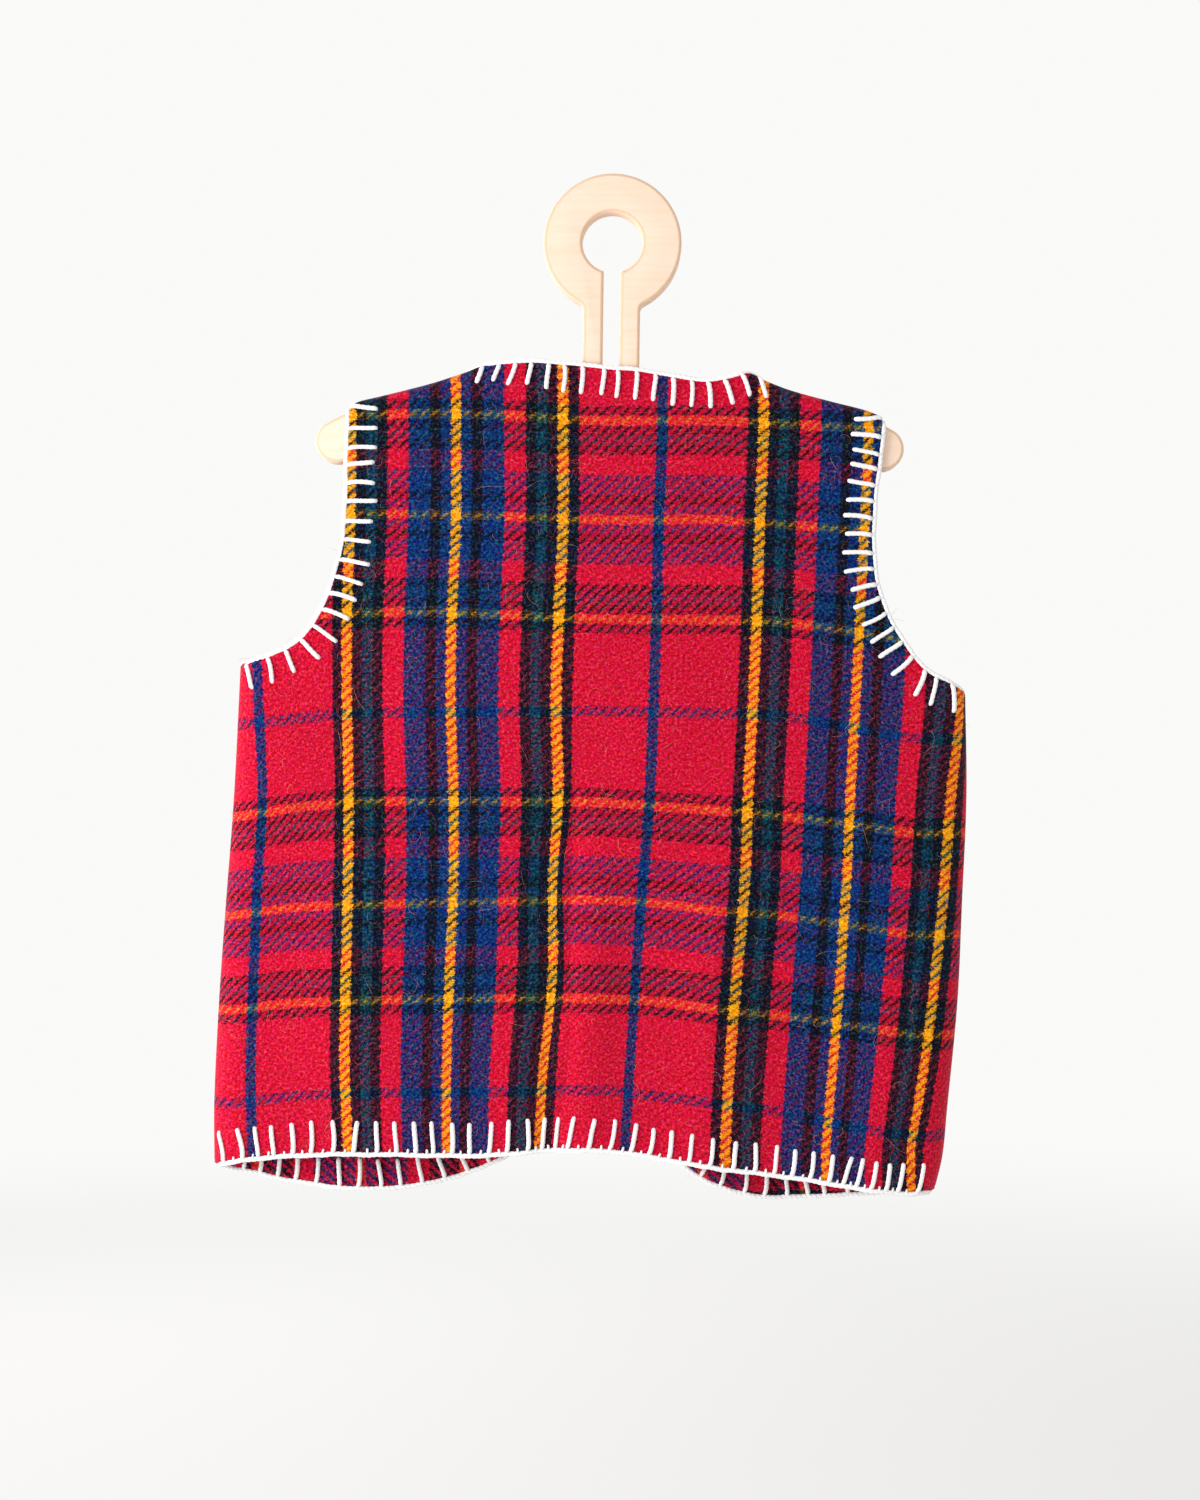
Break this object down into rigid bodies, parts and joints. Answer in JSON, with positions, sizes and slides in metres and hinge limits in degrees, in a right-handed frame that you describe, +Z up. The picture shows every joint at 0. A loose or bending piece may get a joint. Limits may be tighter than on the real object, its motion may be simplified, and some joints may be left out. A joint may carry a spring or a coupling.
{
  "type": "wool vest on a hanger",
  "caption": "Child's open-fronted vest of thick checked wool with blanket-stitched edges, hanging back outwards on a plywood hanger that a wall peg carries.",
  "frame": {"origin": "top of the eye in the hanger, at the middle of the board, where the peg carries it", "axes": "+Z up, +Y from the vest's back towards its fronts, +X towards the wearer's right"},
  "size_m": [0.3752, 0.031, 0.5102],
  "materials": {
    "back_cloth": "felted wool twill, red ground with a blue, green, black and yellow check",
    "left_front_cloth": "felted wool twill, red ground with a blue, green, black and yellow check",
    "right_front_cloth": "felted wool twill, red ground with a blue, green, black and yellow check",
    "hanger_board": "pale clear-lacquered plywood"
  },
  "bodies": {
    "root": {"back": "back_cloth", "left_front": "left_front_cloth", "right_front": "right_front_cloth", "hanger": "hanger_board"}
  },
  "joints": []
}
